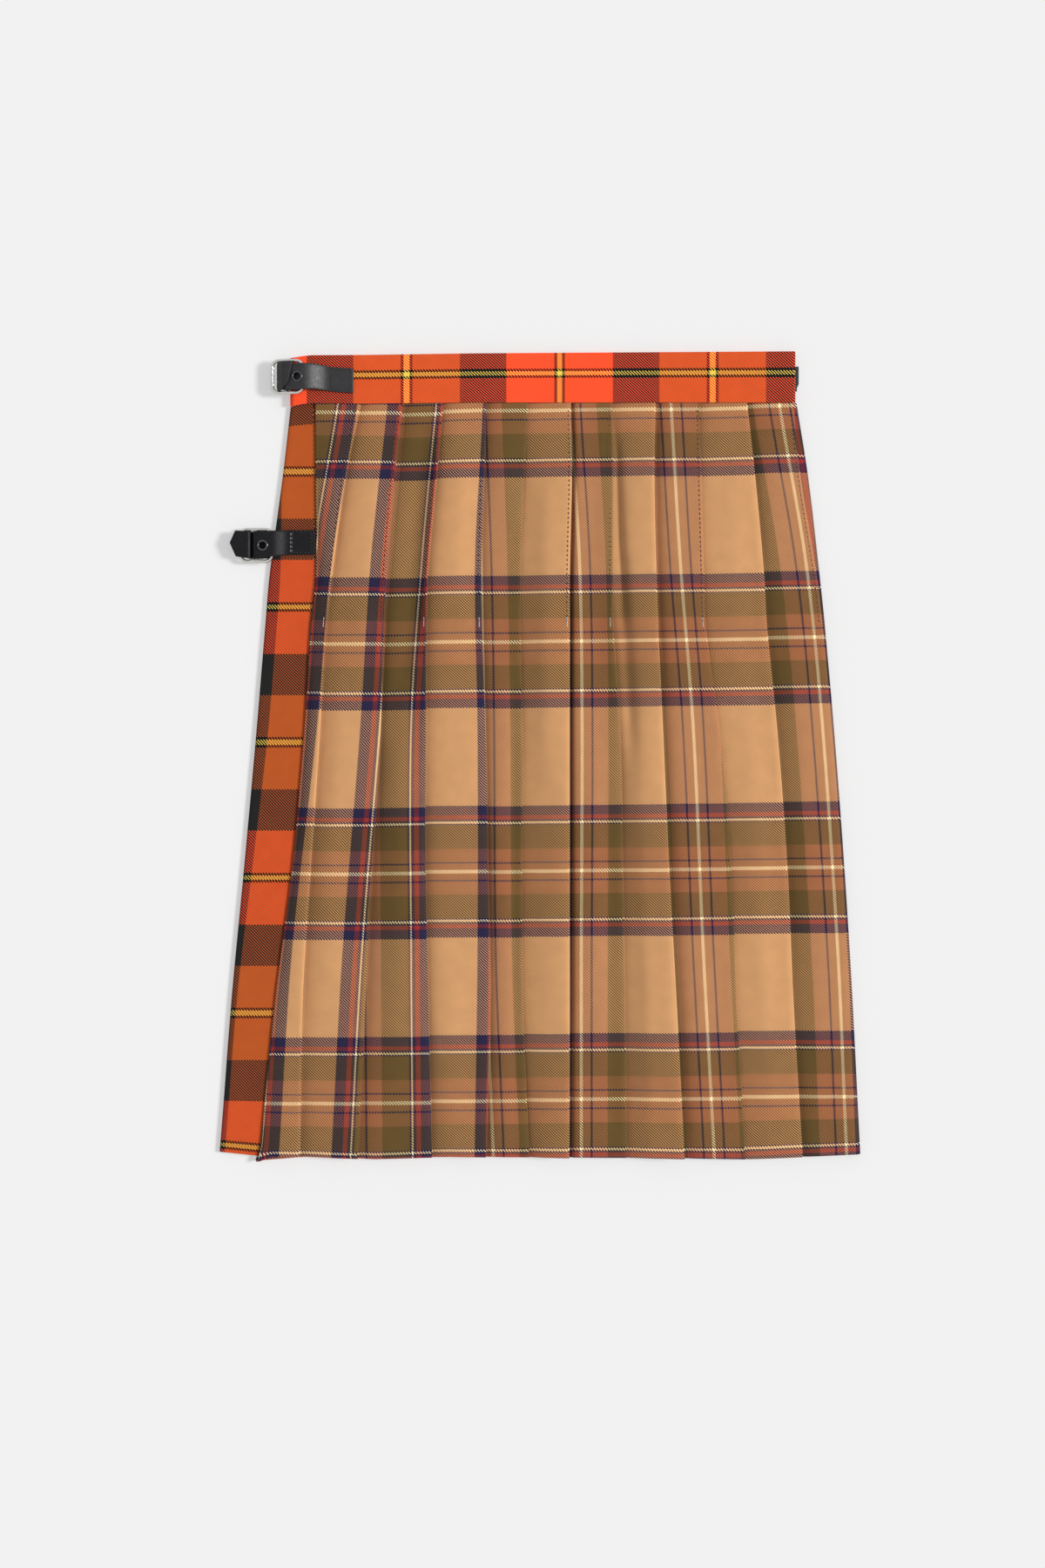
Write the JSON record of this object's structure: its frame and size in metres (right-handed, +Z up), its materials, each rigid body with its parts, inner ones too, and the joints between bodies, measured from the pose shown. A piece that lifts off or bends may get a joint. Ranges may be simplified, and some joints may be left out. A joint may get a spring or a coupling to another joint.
{
  "type": "pleated wrap kilt, laid flat",
  "caption": "Knife-pleated tartan wrap kilt with a contrast waistband and front apron, leather buckle straps, laid flat back up.",
  "frame": {"origin": "under the middle of the laid kilt's outline, on the surface that it lies on", "axes": "+X to the right with the pleated back up and the waist ahead, +Y from the hem to the waist, +Z up from the surface"},
  "size_m": [0.4276, 0.538, 0.0153],
  "materials": {
    "brown_tartan": "twill wool tartan in tan, olive, rust, navy, red and cream",
    "orange_tartan": "twill wool tartan in orange, red, dark brown and yellow",
    "strap_leather": "smooth black, semi-matt, cut edges",
    "buckle_metal": "polished"
  },
  "bodies": {
    "root": {"pleated_cloth": "brown_tartan", "front_apron": "orange_tartan", "waistband": "orange_tartan", "hip_chape": "strap_leather", "hip_buckle": "buckle_metal", "hip_eyelet": "buckle_metal", "hip_strap": "strap_leather", "waist_chape": "strap_leather", "waist_buckle": "buckle_metal", "waist_eyelet": "buckle_metal", "waist_strap": "strap_leather", "right_strap": "strap_leather"}
  },
  "joints": []
}
